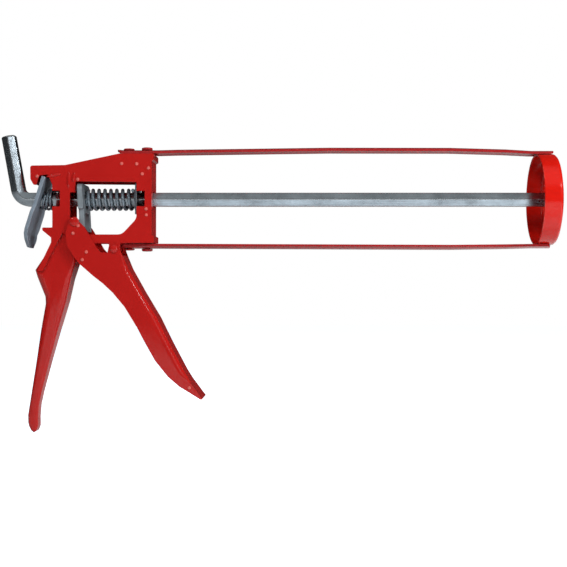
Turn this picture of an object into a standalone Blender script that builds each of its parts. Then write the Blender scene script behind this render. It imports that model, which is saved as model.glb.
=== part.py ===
"""Skeleton caulking gun: folded sheet frame, hex push rod, ratchet plate, trigger and cartridge cradle.

Metres, +Z up. The push rod runs along +X towards the cradle ring. Outlines are in millimetres from the point
where the rod's axis meets the cartridge seat. The finished gun's own origin is the middle of its overall box.
"""

import math

import bmesh
import bpy
from mathutils import Matrix, Vector

MM = 0.001
FIT = 0.3  # clearance between two pieces that touch
SIDE_GAP = 0.4  # trigger ears to the frame's sides
ROD_SLACK = 0.38  # rod corners to the bores that guide it
SPRING_SLACK = 0.13  # rod corners to the inside of the main spring
RELEASE_SLACK = 0.48  # rod corners to the inside of the release spring
DISC_SLACK = 1.9  # piston disc to the ring's lip
SHEET = 1.5  # frame, handle and trigger sheet
MIDDLE = (74.5, 0.0, -49.16)  # middle of the overall box, from the rod's axis at the seat

# Cradle: takes a 310 ml cartridge, 50 mm across and 215 mm long in the tube
CRADLE = 224.1  # seat to the rear edge of the ring
RING_WIDTH = 11.0
RING_RADIUS = 26.75
RING_SHEET = 1.2
LIP_DEPTH = 3.05
RING_LIP = RING_RADIUS - LIP_DEPTH

# Frame
FRAME_HALF = 10.0
THROUGH = FRAME_HALF + 5.0  # reach of the cuts that go right through the frame and the trigger
FRAME_TOP = 26.1
FRAME_BASE = -25.7
GRIP_BOTTOM = -136.3
GRIP_TIP_HALF = 4.9
GRIP_SPINE = 4.4
GRIP_NOSE = 3.0

# Straps
STRAP_HALF = 7.0
STRAP_SHEET = 1.4
STRAP_CROWN = 1.2
STRAP_RIVETS = (-14.6, -4.0)

# Push rod
ROD_FLATS = 8.0
ROD_CORNER = ROD_FLATS / 2 / math.cos(math.pi / 6)
ROD_BORE = 2 * (ROD_CORNER + ROD_SLACK)
SLOT_HALF = ROD_FLATS / 2 + 0.5
PISTON_PLACE = 10.2
ROD_FRONT = CRADLE + PISTON_PLACE
ROD_BEND = 7.0
LEG_LEAN = 10.3
LEG_LENGTH = 38.0
ROD_KNEE = -78.6
DISC_RADIUS = RING_LIP - DISC_SLACK

# Trigger
PIVOT = (-21.6, -29.2)
PIN_RADIUS = 1.5
PUSH_PIN = (-44.4, -13.4)
PUSH_RADIUS = 2.0
TRIGGER_INSIDE = FRAME_HALF + SIDE_GAP
TRIGGER_HALF = TRIGGER_INSIDE + SHEET
TRIGGER_BEND = 3.4

# Drive plate and main spring
PLATE_THICK = 3.0
PLATE_REAR = -43.2
PLATE_TOP = 8.7
PLATE_FOOT = -18.7
PLATE_HALF = TRIGGER_HALF
PLATE_LEG = 3.4
PLATE_LEAN = 3.2
SPRING_WIRE = 1.9
SPRING_OUTER = ROD_CORNER + SPRING_SLACK + SPRING_WIRE
SPRING_REAR = -38.9
SPRING_FRONT = -11.3

# Release lever and its spring
HINGE = (-62.4, 12.3)
LEVER_SHEET = 2.2
LEVER_LEAN = 17.4
LEVER_EARS = 1.6
LEVER_TONGUE = 3.6
RELEASE_WIRE = 1.4
RELEASE_OUTER = ROD_CORNER + RELEASE_SLACK + RELEASE_WIRE


def clear_scene():
    for obj in list(bpy.data.objects):
        bpy.data.objects.remove(obj)
    for mesh in list(bpy.data.meshes):
        bpy.data.meshes.remove(mesh)


def collection(name, hidden=False):
    made = bpy.data.collections.new(name)
    bpy.context.scene.collection.children.link(made)
    made.hide_render = hidden
    return made


def material(name, colour, metallic, roughness):
    mat = bpy.data.materials.new(name)
    mat.use_nodes = True
    shader = mat.node_tree.nodes["Principled BSDF"]
    shader.inputs["Base Color"].default_value = (*colour, 1.0)
    shader.inputs["Metallic"].default_value = metallic
    shader.inputs["Roughness"].default_value = roughness
    mat.diffuse_color = (*colour, 1.0)
    return mat


def rounded(points, steps=5):
    """A closed outline of (a, b, radius) corners, with each corner turned into an arc."""
    outline = []
    count = len(points)
    for i, (px, pz, radius) in enumerate(points):
        here = Vector((px, pz))
        before = Vector(points[i - 1][:2]) - here
        after = Vector(points[(i + 1) % count][:2]) - here
        if radius <= 0:
            outline.append((px, pz))
            continue
        half = before.angle(after) / 2
        run = radius / math.tan(half)
        run = min(run, before.length * 0.49, after.length * 0.49)
        start = here + before.normalized() * run
        end = here + after.normalized() * run
        for k in range(steps + 1):
            t = k / steps
            point = start * (1 - t) ** 2 + here * 2 * t * (1 - t) + end * t**2
            outline.append((point.x, point.y))
    return outline


def offset_path(points, distance):
    """An open path moved sideways: to the left of its direction when distance is positive."""
    moved = []
    for i, point in enumerate(points):
        a = Vector(points[max(i - 1, 0)])
        b = Vector(points[min(i + 1, len(points) - 1)])
        along = (b - a).normalized()
        moved.append((point[0] - along.y * distance, point[1] + along.x * distance))
    return moved


def prism(outline, low, high, axis="Y", bevel=0.0):
    """An outline pulled along an axis. Outlines are (x, z) for Y, (y, z) for X and (x, y) for Z."""
    bm = bmesh.new()
    loops = []
    for depth in (low, high):
        loop = []
        for a, b in outline:
            if axis == "Y":
                co = (a, depth, b)
            elif axis == "X":
                co = (depth, a, b)
            else:
                co = (a, b, depth)
            loop.append(bm.verts.new(Vector(co) * MM))
        loops.append(loop)
    count = len(outline)
    bm.faces.new(loops[0])
    bm.faces.new(list(reversed(loops[1])))
    for i in range(count):
        k = (i + 1) % count
        bm.faces.new((loops[0][k], loops[0][i], loops[1][i], loops[1][k]))
    bmesh.ops.recalc_face_normals(bm, faces=bm.faces)
    if bevel:
        rims = [e for e in bm.edges if len({v in loops[0] for v in e.verts}) == 1]
        bmesh.ops.bevel(
            bm, geom=rims, offset=bevel * MM, segments=2, affect="EDGES", profile=0.5, clamp_overlap=True
        )
    return bm


def near_path(point, path, reach=0.8):
    """True where a point lies within reach of an open path."""
    here = Vector(point)
    for a, b in zip(path, path[1:]):
        start = Vector(a)
        along = Vector(b) - start
        t = max(0.0, min(1.0, (here - start).dot(along) / along.length_squared))
        if (start + along * t - here).length < reach:
            return True
    return False


def folded(outline, half, path, radius, steps=5):
    """A prism along Y whose rims are bent to a radius where they follow path, as folded sheet is."""
    count = len(outline)
    pairs = [(outline[i], outline[(i + 1) % count]) for i in range(count)]
    turn = 1 if sum(a[0] * b[1] - b[0] * a[1] for a, b in pairs) > 0 else -1
    inward = []
    for i, point in enumerate(outline):
        along = (Vector(outline[(i + 1) % count]) - Vector(outline[i - 1])).normalized()
        weight = 1.0 if near_path(point, path) else 0.0
        inward.append(Vector((-along.y, along.x)) * turn * weight)
    levels = []
    for k in range(steps + 1):
        t = math.pi / 2 * k / steps
        levels.append((half - radius + radius * math.sin(t), radius * (1 - math.cos(t))))
    levels = [(-y, inset) for y, inset in reversed(levels)] + levels
    stations = []
    for y, inset in levels:
        station = []
        for point, move in zip(outline, inward):
            station.append((point[0] + move.x * inset, y, point[1] + move.y * inset))
        stations.append(station)
    return tube(stations)


def lathe(profile, axis, centre, steps=32):
    """A closed (along, radius) profile turned about an axis through centre; a radius of 0 closes it there."""
    bm = bmesh.new()
    rings = []
    for along, radius in profile:
        if radius == 0:
            rings.append([bm.verts.new((along * MM, 0, 0))])
            continue
        ring = []
        for k in range(steps):
            t = math.tau * k / steps
            ring.append(bm.verts.new(Vector((along, radius * math.cos(t), radius * math.sin(t))) * MM))
        rings.append(ring)
    pairs = list(zip(rings, rings[1:]))
    if profile[0][1] and profile[-1][1]:
        pairs.append((rings[-1], rings[0]))
    for first, second in pairs:
        for k in range(steps):
            n = (k + 1) % steps
            if len(first) == 1 and len(second) == 1:
                continue
            if len(first) == 1:
                bm.faces.new((first[0], second[n], second[k]))
            elif len(second) == 1:
                bm.faces.new((first[k], first[n], second[0]))
            else:
                bm.faces.new((first[k], first[n], second[n], second[k]))
    if axis == "Y":
        bmesh.ops.rotate(bm, verts=bm.verts, matrix=Matrix.Rotation(math.radians(90), 3, "Z"))
    if axis == "Z":
        bmesh.ops.rotate(bm, verts=bm.verts, matrix=Matrix.Rotation(math.radians(-90), 3, "Y"))
    bmesh.ops.translate(bm, verts=bm.verts, vec=Vector(centre) * MM)
    bmesh.ops.recalc_face_normals(bm, faces=bm.faces)
    return bm


def tube(stations):
    """A closed bar through a list of point loops, each the same length."""
    bm = bmesh.new()
    loops = []
    for station in stations:
        loops.append([bm.verts.new(Vector(co) * MM) for co in station])
    count = len(loops[0])
    for first, second in zip(loops, loops[1:]):
        for k in range(count):
            n = (k + 1) % count
            bm.faces.new((first[k], first[n], second[n], second[k]))
    bm.faces.new(list(reversed(loops[0])))
    bm.faces.new(loops[-1])
    bmesh.ops.recalc_face_normals(bm, faces=bm.faces)
    return bm


def coil(outer, wire, rear, front, turns, closed, start=0.0, lean=0.0, across=10, steps=20):
    """A compression spring along X: close end turns, and a rear end that can lean by an angle."""
    radius = outer - wire / 2
    first = rear + wire / 2
    last = front - wire / 2
    tight = wire * 1.04
    pitch = (last - first - 2 * closed * tight) / (turns - 2 * closed)
    slope = math.tan(math.radians(lean))
    stations = []
    total = int(turns * steps)
    for i in range(total + 1):
        turn = turns * i / total
        if turn < closed:
            x = first + tight * turn
        elif turn > turns - closed:
            x = last - tight * (turns - turn)
        else:
            x = first + tight * closed + pitch * (turn - closed)
        t = math.tau * turn + start
        out = Vector((0, -math.sin(t), math.cos(t)))
        centre = Vector((x, 0, 0)) + out * radius
        ring = []
        for k in range(across):
            a = math.tau * k / across
            point = centre + (Vector((1, 0, 0)) * math.cos(a) + out * math.sin(a)) * wire / 2
            point.x += centre.z * slope * (last - x) / (last - first)
            ring.append(point)
        stations.append(ring)
    return tube(stations)


def add(bm, name, group, mat, origin=(0, 0, 0)):
    """A mesh as an object with its own origin."""
    at = Vector(origin) * MM
    bmesh.ops.translate(bm, verts=bm.verts, vec=-at)
    mesh = bpy.data.meshes.new(name)
    bm.to_mesh(mesh)
    bm.free()
    obj = bpy.data.objects.new(name, mesh)
    obj.location = at - Vector(MIDDLE) * MM
    group.objects.link(obj)
    if mat:
        mesh.materials.append(mat)
    return obj


def cut(obj, bm, label):
    """Takes a shape away from an object with a live Boolean."""
    cutter = add(bm, f"cut_{obj.name}_{label}", CUTTERS, None)
    cutter.hide_render = True
    cutter.display_type = "WIRE"
    modifier = obj.modifiers.new(label, "BOOLEAN")
    modifier.operation = "DIFFERENCE"
    modifier.solver = "EXACT"
    modifier.object = cutter


def circle(x, z, radius, start=0.0, end=math.tau, steps=20):
    """Points on an arc, leaving out the last one when it closes."""
    closed = abs(end - start - math.tau) < 1e-6
    points = []
    for k in range(steps if closed else steps + 1):
        t = start + (end - start) * k / steps
        points.append((x + radius * math.cos(t), z + radius * math.sin(t)))
    return points


def bore(x, radius, low, high, z=0.0, steps=32):
    """A cylinder along X."""
    return prism(circle(0, z, radius, steps=steps), low, high, axis="X")


def frame_outline():
    corners = [
        (0.0, FRAME_TOP - 4.2, 0.4),
        (1.2, FRAME_TOP - 3.6, 0.4),
        (1.2, FRAME_TOP, 0.8),
        (-18.7, FRAME_TOP, 4.0),
        (-50.2, 19.4, 3.0),
        (-70.4, 19.1, 1.4),
        (-70.3, 11.3, 1.5),
        (-68.5, 8.0, 0.9),
        (-66.7, 8.0, 0.7),
        (-65.2, 13.4, 1.0),
        (-60.0, 13.9, 1.0),
        (-57.6, 8.1, 0.6),
        (-57.6, -16.8, 0.6),
        (-63.5, -16.8, 0.5),
        (-63.3, -18.5, 0.5),
        (-58.3, -22.6, 1.2),
        (-58.3, -25.4, 1.2),
        (-66.3, -42.0, 0.8),
        (-63.1, -42.0, 0.5),
        (-56.4, -28.4, 0.6),
        (-51.2, -19.2, 0.8),
        (-49.6, -21.6, 0.8),
        (-45.4, FRAME_BASE, 1.5),
        (-25.0, FRAME_BASE, 0.6),
    ]
    outline = rounded(corners, steps=4)
    outline += circle(PIVOT[0], PIVOT[1], 3.2, math.pi, math.tau, steps=10)
    corners = [
        (-18.2, FRAME_BASE, 0.0),
        (1.2, FRAME_BASE, 0.8),
        (1.2, FRAME_BASE + 3.8, 0.4),
        (0.0, FRAME_BASE + 4.4, 0.4),
    ]
    return outline + rounded(corners, steps=4)[0:]


def make_frame():
    """Folded frame: two side plates joined by the seat wall, top web, rear wall and strap flanges."""
    bm = prism(frame_outline(), -FRAME_HALF, FRAME_HALF, bevel=0.5)
    frame = add(bm, "frame_body", PARTS, RED)
    inside = FRAME_HALF - SHEET
    hollow = [
        (-SHEET, FRAME_TOP - SHEET),
        (-18.7, FRAME_TOP - SHEET),
        (-50.2, 19.4 - SHEET),
        (-70.4 + SHEET, 19.1 - SHEET),
        (-70.4 + SHEET, 5.0),
        (-57.9, 5.0),
        (-57.9, 9.0),
        (-57.6 + SHEET, 9.0),
        (-57.6 + SHEET, -16.8 - SHEET),
        (-66.0, -16.8 - SHEET),
        (-72.0, -48.0),
        (-17.7, -48.0),
        (-17.7, FRAME_BASE + SHEET),
        (-SHEET, FRAME_BASE + SHEET),
    ]
    cut(frame, prism(hollow, -inside, inside), "hollow")
    window = [
        (-44.2, 9.9, 0.8),
        (-44.2, 3.6, 0.3),
        (-47.4, 3.6, 0.5),
        (-47.4, -17.2, 1.0),
        (-44.5, -20.8, 1.0),
        (-17.4, -20.8, 6.0),
        (-8.8, -11.6, 6.0),
        (-8.8, 9.6, 0.8),
    ]
    cut(frame, prism(rounded(window), -THROUGH, THROUGH), "window")
    front_slot = [(-10.5, -SLOT_HALF), (-4.1, -SLOT_HALF), (-4.1, SLOT_HALF), (-10.5, SLOT_HALF)]
    cut(frame, prism(front_slot, -THROUGH, THROUGH), "front_slot")
    rear_slot = [(-60.0, -SLOT_HALF - 0.1), (-53.2, -SLOT_HALF - 0.1)]
    rear_slot += [(-53.2, SLOT_HALF + 0.1), (-60.0, SLOT_HALF + 0.1)]
    cut(frame, prism(rear_slot, -THROUGH, THROUGH), "rear_slot")
    cut(frame, bore(0, ROD_BORE / 2, -3.5, 4.0), "seat_bore")
    cut(frame, prism(circle(*PIVOT, PIN_RADIUS + FIT), -THROUGH, THROUGH), "pivot_bore")
    for k, x in enumerate(STRAP_RIVETS):
        cut(frame, prism(circle(x, 0, 1.7 + FIT), -40, 40, axis="Z"), f"rivet_bore_{k}")
    return frame


def grip_loft(outline, spine, nose, end, shrink=0.0):
    """A closed grip along Y: full width at the top, narrow and rounded towards its tip."""
    count = len(outline)
    pairs = [(outline[i], outline[(i + 1) % count]) for i in range(count)]
    turn = 1 if sum(a[0] * b[1] - b[0] * a[1] for a, b in pairs) > 0 else -1
    steps = 6
    full = FRAME_HALF - SHEET - FIT
    stations = [[] for _ in range(2 * steps + 2)]
    for i, (x, z) in enumerate(outline):
        along = (Vector(outline[(i + 1) % count]) - Vector(outline[i - 1])).normalized()
        inward = Vector((-along.y, along.x)) * turn
        down = min(1.0, max(0.0, (-44.0 - z) / (-44.0 - GRIP_BOTTOM)))
        half = full + (GRIP_TIP_HALF - full) * down - shrink
        middle = -56.0 + (z + 45.0) * 0.17
        wide = spine if x < middle else nose
        radius = wide + (end - wide) * min(1.0, down * 1.08)
        if z < -128.0:
            radius -= (-128.0 - z) * 0.1
        radius = max(0.05, radius * min(1.0, max(0.0, (-34.0 - z) / 8.0)))
        for k in range(steps + 1):
            t = math.pi / 2 * k / steps
            y = half - radius + radius * math.sin(t)
            inset = radius * (1 - math.cos(t))
            point = Vector((x, z)) + inward * inset
            stations[steps + 1 + k].append((point.x, y, point.y))
            stations[steps - k].append((point.x, -y, point.y))
    return tube(stations)


def make_handle():
    """Tapered grip wrapped from one sheet: a broad rounded back, a closed front and a rounded tip."""
    back = [
        (-57.0, -25.2),
        (-68.6, -41.3),
        (-67.4, -45.6),
        (-62.9, -57.0),
        (-62.7, -61.0),
        (-65.5, -76.5),
        (-68.5, -96.5),
        (-71.4, -114.0),
        (-73.3, -126.0),
        (-73.2, -130.6),
    ]
    front = [
        (-67.4, -132.8),
        (-67.4, -127.5),
        (-66.9, -120.5),
        (-65.2, -112.5),
        (-60.5, -94.5),
        (-55.3, -76.0),
        (-50.4, -59.5),
        (-47.6, -46.8),
        (-45.0, -38.0),
    ]
    tip = [(-72.5, -133.0), (-71.3, -135.2), (-69.8, GRIP_BOTTOM), (-68.4, -135.5)]
    top = [(-44.6, -30.0), (-51.0, -21.0), (-56.6, -20.0)]
    spots = [(x, z, 0.0) for x, z in back + tip + front + top]
    for i in (3, 4):
        spots[i] = (*back[i], 3.0)
    bm = grip_loft(rounded(spots, 3), GRIP_SPINE, GRIP_NOSE, 2.3)
    handle = add(bm, "handle_channel", PARTS, RED)
    spine = [(-54.5, -12.0), (-54.5, -26.0), (-65.6, -42.0), (-64.6, -46.4), (-61.2, -57.0), (-61.1, -61.2)]
    spine += [(-63.9, -77.0), (-66.9, -97.0), (-69.8, -114.3), (-71.4, -124.0)]
    nose = [(-69.4, -124.0), (-66.9, -113.2), (-62.0, -95.0), (-56.8, -76.4), (-51.9, -60.0)]
    nose += [(-49.1, -47.2), (-46.6, -38.2), (-46.4, -30.0), (-47.0, -12.0)]
    cut(handle, grip_loft(spine + nose, GRIP_SPINE - SHEET, GRIP_NOSE - SHEET, 0.7, SHEET), "hollow")
    return handle


def make_guide():
    """Cross plate that stops the main spring and steadies the rod."""
    half = FRAME_HALF - SHEET - FIT
    outline = [(-half, -9.0), (half, -9.0), (half, 9.0), (-half, 9.0)]
    bm = prism(outline, -10.0, -8.9, axis="X")
    guide = add(bm, "front_guide", PARTS, ZINC)
    cut(guide, bore(0, ROD_BORE / 2, -13, -5), "bore")
    return guide


def strap_points(top, x, base, crown, squeeze):
    """One cross-section: an arched strip, its edges base above the axis."""
    count = 8
    lower = []
    upper = []
    for k in range(count + 1):
        y = squeeze * STRAP_HALF * (2 * k / count - 1)
        rise = crown * (1 - (y / STRAP_HALF) ** 2)
        lower.append((x, y, base + rise))
        upper.append((x, y, base + rise + STRAP_SHEET))
    loop = lower + list(reversed(upper))
    if top:
        return loop
    return [(px, py, -pz) for px, py, pz in loop]


def make_strap(name, top, stations):
    """A long arched strip from the frame to the ring, with rounded ends."""
    sections = []
    last = len(stations) - 1
    for i, (x, base, crown) in enumerate(stations):
        squeeze = 1.0
        if i in (0, last):
            squeeze = 0.55
        if i in (1, last - 1):
            squeeze = 0.86
        sections.append(strap_points(top, x, base, crown, squeeze))
    strap = add(tube(sections), name, PARTS, RED)
    for k, x in enumerate(STRAP_RIVETS):
        cut(strap, prism(circle(x, 0, 1.7 + FIT), -40, 40, axis="Z"), f"rivet_bore_{k}")
    return strap


def make_straps():
    base = FRAME_TOP + FIT
    ring = math.sqrt((RING_RADIUS + FIT) ** 2 - STRAP_HALF**2) + 0.05
    top = [
        (-20.6, base + 0.9, 0.5),
        (-19.6, base + 0.5, 0.9),
        (-17.2, base, STRAP_CROWN),
        (3.0, base, STRAP_CROWN),
        (14.0, base + 0.3, STRAP_CROWN),
        (CRADLE * 0.25, base + 1.0, STRAP_CROWN),
        (CRADLE * 0.46, base + 1.5, STRAP_CROWN),
        (CRADLE * 0.625, base + 1.6, STRAP_CROWN),
        (CRADLE * 0.776, base + 1.4, STRAP_CROWN),
        (CRADLE * 0.92, base + 0.5, STRAP_CROWN),
        (CRADLE - 3.0, ring, 0.98),
        (CRADLE + 7.6, ring, 0.98),
        (CRADLE + 9.0, ring, 0.98),
        (CRADLE + 9.9, ring, 0.98),
    ]
    base = -FRAME_BASE + FIT
    bottom = [
        (-19.3, base, 0.8),
        (-18.5, base, 1.0),
        (-16.5, base, STRAP_CROWN + 0.2),
        (3.0, base, STRAP_CROWN + 0.2),
        (CRADLE * 0.25, base + 0.5, STRAP_CROWN + 0.2),
        (CRADLE * 0.49, base + 0.8, STRAP_CROWN + 0.2),
        (CRADLE * 0.776, base + 0.7, STRAP_CROWN + 0.2),
        (CRADLE * 0.92, base + 0.4, STRAP_CROWN),
        (CRADLE - 3.0, ring, 0.98),
        (CRADLE + 5.6, ring, 0.98),
        (CRADLE + 7.0, ring, 0.98),
        (CRADLE + 7.9, ring, 0.98),
    ]
    make_strap("top_strap", True, top)
    make_strap("bottom_strap", False, bottom)


def make_rivets():
    """Four round-head rivets that hold the straps to the frame flanges."""
    crowns = {"top": STRAP_CROWN, "bottom": STRAP_CROWN + 0.2}
    edges = {"top": FRAME_TOP, "bottom": -FRAME_BASE}
    for side in ("top", "bottom"):
        flange = edges[side] - SHEET
        seat = edges[side] + FIT + crowns[side] + STRAP_SHEET + 0.1
        for k, x in enumerate(STRAP_RIVETS):
            rise = (0.9, 1.5)[k]
            profile = [
                (flange - 1.3, 0),
                (flange - 1.3, 1.6),
                (flange - 0.9, 2.1),
                (flange - FIT, 2.15),
                (flange - FIT, 1.7),
                (seat, 1.7),
                (seat, 3.2),
                (seat + rise * 0.6, 3.2),
                (seat + rise * 0.9, 2.9),
                (seat + rise, 2.3),
                (seat + rise + 0.1, 0),
            ]
            bm = lathe(profile, "Z", (0, 0, 0), steps=24)
            if side == "bottom":
                bmesh.ops.rotate(bm, verts=bm.verts, matrix=Matrix.Rotation(math.pi, 3, "X"))
            bmesh.ops.translate(bm, verts=bm.verts, vec=Vector((x, 0, 0)) * MM)
            add(bm, f"strap_rivet_{side}_{'ab'[k]}", PARTS, RED)


def make_ring():
    """Front ring: a rolled band whose front edge turns in to hold the cartridge shoulder."""
    front = CRADLE + RING_WIDTH
    inner = RING_RADIUS - RING_SHEET
    profile = [
        (CRADLE, inner + 0.2),
        (CRADLE, RING_RADIUS - 0.3),
        (CRADLE + 0.3, RING_RADIUS),
        (front - 2.0, RING_RADIUS),
        (front - 1.0, RING_RADIUS - 0.27),
        (front - 0.27, RING_RADIUS - 1.0),
        (front, RING_RADIUS - 2.0),
        (front, RING_LIP + 0.2),
        (front - 0.3, RING_LIP),
        (front - RING_SHEET, RING_LIP),
        (front - RING_SHEET, inner - 0.8),
        (front - RING_SHEET - 0.7, inner),
        (CRADLE + 0.3, inner),
    ]
    add(lathe(profile, "X", (0, 0, 0), steps=96), "front_ring", PARTS, RED)


def hexagon(centre, up, size):
    """Six corners about a point: flats face up and down, two corners face sideways."""
    side = Vector((0, 1, 0))
    radius = size / 2 / math.cos(math.pi / 6)
    loop = []
    for k in range(6):
        t = math.tau * k / 6
        loop.append(centre + side * radius * math.cos(t) + up * radius * math.sin(t))
    return loop


def make_rod():
    """Hexagonal push rod with its rear end bent up as a pull handle."""
    lean = math.radians(LEG_LEAN)
    turn = math.pi / 2 - lean
    leg = Vector((-math.sin(lean), 0, math.cos(lean)))
    reach = ROD_BEND * math.tan(turn / 2)
    start = Vector((ROD_KNEE + reach, 0, 0))
    centre = start + Vector((0, 0, ROD_BEND))
    up = Vector((0, 0, 1))
    stations = [
        hexagon(Vector((ROD_FRONT, 0, 0)), up, ROD_FLATS - 1.2),
        hexagon(Vector((ROD_FRONT - 0.6, 0, 0)), up, ROD_FLATS),
    ]
    steps = 12
    for k in range(steps + 1):
        t = turn * k / steps
        away = Vector((-math.sin(t), 0, -math.cos(t)))
        stations.append(hexagon(centre + away * ROD_BEND, -away, ROD_FLATS))
    knee = Vector((ROD_KNEE, 0, 0))
    side = Vector((math.cos(lean), 0, math.sin(lean)))
    tip = knee + leg * LEG_LENGTH
    stations.append(hexagon(tip - leg * 0.7, side, ROD_FLATS))
    stations.append(hexagon(tip, side, ROD_FLATS - 1.4))
    add(tube(stations), "hex_rod", PARTS, ZINC)


def make_piston():
    """Thin dished disc, washer and rivet head on the front of the rod."""
    rear = ROD_FRONT + FIT
    disc = [
        (rear, 0),
        (rear, DISC_RADIUS - 0.3),
        (rear + 0.3, DISC_RADIUS),
        (rear + 1.1, DISC_RADIUS),
        (rear + 1.4, DISC_RADIUS - 0.3),
        (rear + 1.4, 0),
    ]
    add(lathe(disc, "X", (0, 0, 0), steps=64), "piston_disc", PARTS, ZINC)
    inner = ROD_BORE / 2 + 0.1
    outer = inner + 3.1
    washer = [
        (ROD_FRONT - 2.4, inner),
        (ROD_FRONT - 2.4, outer - 0.2),
        (ROD_FRONT - 2.2, outer),
        (ROD_FRONT - 0.2, outer),
        (ROD_FRONT, outer - 0.2),
        (ROD_FRONT, inner),
    ]
    add(lathe(washer, "X", (0, 0, 0), steps=48), "piston_collar", PARTS, ZINC)
    front = rear + 1.4 + FIT
    head = [
        (front, 0),
        (front, 4.2),
        (front + 0.7, 4.0),
        (front + 1.4, 2.9),
        (front + 1.8, 1.4),
        (front + 1.9, 0),
    ]
    add(lathe(head, "X", (0, 0, 0), steps=32), "piston_rivet", PARTS, ZINC)


def trigger_front():
    return [
        (-20.4, -30.4),
        (-13.3, -41.1),
        (-5.4, -55.2),
        (2.9, -69.1),
        (10.8, -85.0),
        (18.6, -99.7),
        (22.9, -107.2),
        (27.6, -113.8),
    ]


def make_trigger():
    """Trigger: channel with its web at the front and two ears that reach up beside the frame."""
    front = trigger_front()
    outline = [(x, z, 0.0) for x, z in front[1:-2]] + [(*front[-2], 3.0)]
    outline += [
        (29.6, -116.2, 0.8),
        (28.4, -116.3, 0.8),
        (22.0, -112.3, 3.0),
        (16.2, -108.8, 3.0),
        (9.6, -103.1, 3.0),
        (2.2, -93.9, 3.0),
        (-4.2, -82.5, 3.0),
        (-8.5, -74.2, 3.0),
        (-15.4, -62.8, 3.0),
        (-22.3, -54.5, 3.0),
        (-28.2, -49.0, 3.0),
        (-33.4, -45.0, 2.0),
        (-41.5, -37.9, 2.0),
        (-45.3, -33.0, 2.0),
        (-48.8, -27.2, 2.0),
        (-49.5, -20.1, 2.0),
        (-47.2, -11.4, 2.0),
        (-44.0, -10.6, 1.2),
        (-41.8, -13.4, 1.2),
        (-38.6, -16.6, 2.0),
        (-34.9, -22.6, 2.0),
        (-31.5, -28.7, 1.5),
        (-28.9, -31.4, 1.0),
        (-25.6, -31.4, 0.8),
    ]
    path = rounded(outline, steps=4)
    path += circle(PIVOT[0], PIVOT[1], 3.2, math.pi * 0.98, 0.0, steps=12)
    bend = [(-16.4, -33.8), *front[1:-2], (20.0, -102.0)]
    bm = folded(path, TRIGGER_HALF, bend, TRIGGER_BEND)
    trigger = add(bm, "trigger", PARTS, RED, origin=(PIVOT[0], 0, PIVOT[1]))
    inner = offset_path(front[1:], -SHEET)
    hollow = [(-18.2, -33.0)] + inner[:-1]
    hollow += [(25.6, -113.0), (25.0, -118.5), (-60.0, -118.5), (-60.0, 0.0), (-10.0, 0.0), (-10.0, -33.0)]
    cut(trigger, prism(hollow, -TRIGGER_INSIDE, TRIGGER_INSIDE), "hollow")
    cut(trigger, prism(circle(*PIVOT, PIN_RADIUS + FIT), -THROUGH, THROUGH), "pivot_bore")
    cut(trigger, prism(circle(*PUSH_PIN, PUSH_RADIUS + FIT), -THROUGH, THROUGH), "pin_bore")
    return trigger


def make_pins():
    """Pivot rivet through the frame lugs, and the two stub pins that push the drive plate."""
    seat = TRIGGER_HALF + FIT
    head = 2.5
    half = [(seat + 1.0, 0), (seat + 0.9, 1.4), (seat + 0.5, 2.3), (seat, head), (seat, PIN_RADIUS)]
    profile = half + [(-along, size) for along, size in reversed(half)]
    origin = (PIVOT[0], 0, PIVOT[1])
    add(lathe(profile, "Y", origin, steps=24), "trigger_pivot", PARTS, RED, origin=origin)
    head = 2.8
    end = TRIGGER_INSIDE - 5.1
    profile = [
        (end, 0),
        (end, PUSH_RADIUS - 0.3),
        (end + 0.3, PUSH_RADIUS),
        (seat, PUSH_RADIUS),
        (seat, head),
        (seat + 0.5, head * 0.92),
        (seat + 0.9, head * 0.55),
        (seat + 1.0, 0),
    ]
    origin = (PUSH_PIN[0], 0, PUSH_PIN[1])
    for side, name in ((1, "push_pin_left"), (-1, "push_pin_right")):
        placed = [(along * side, size) for along, size in profile]
        add(lathe(placed, "Y", origin, steps=24), name, PARTS, RED, origin=origin)


def make_drive():
    """Drive plate: a wide head on the rod and two legs down to the push pin, leaning forward at the foot."""
    leg = TRIGGER_INSIDE - SIDE_GAP
    inside = leg - PLATE_LEG
    outline = [
        (-PLATE_HALF, PLATE_TOP, 4.0),
        (-PLATE_HALF, -6.1, 1.2),
        (-leg, -6.1, 0.4),
        (-leg, PLATE_FOOT, 1.0),
        (-inside, PLATE_FOOT, 1.0),
        (-inside + 0.6, -8.0, 1.0),
        (inside - 0.6, -8.0, 1.0),
        (inside, PLATE_FOOT, 1.0),
        (leg, PLATE_FOOT, 1.0),
        (leg, -6.1, 0.4),
        (PLATE_HALF, -6.1, 1.2),
        (PLATE_HALF, PLATE_TOP, 4.0),
    ]
    bm = prism(rounded(outline), PLATE_REAR, PLATE_REAR + PLATE_THICK, axis="X", bevel=0.25)
    slope = math.tan(math.radians(PLATE_LEAN))
    for vert in bm.verts:
        vert.co.x += (PLATE_TOP * MM - vert.co.z) * slope
    plate = add(bm, "drive_plate", PARTS, ZINC)
    cut(plate, bore(0, ROD_BORE / 2, -60, -30), "rod_bore")
    return plate


def make_springs():
    bm = coil(SPRING_OUTER, SPRING_WIRE, SPRING_REAR, SPRING_FRONT, 8.0, 0.7, start=0.4)
    add(bm, "main_spring", PARTS, STEEL)
    inner = ROD_BORE / 2 + 0.1
    outer = SPRING_OUTER + 0.05
    washer = [(-11.0, inner), (-11.0, outer), (-10.3, outer), (-10.3, inner)]
    add(lathe(washer, "X", (0, 0, 0), steps=32), "spring_washer", PARTS, STEEL)
    bm = coil(RELEASE_OUTER, RELEASE_WIRE, -64.6, -57.95, 2.8, 0.5, start=1.2, lean=LEVER_LEAN)
    add(bm, "release_spring", PARTS, STEEL)


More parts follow.
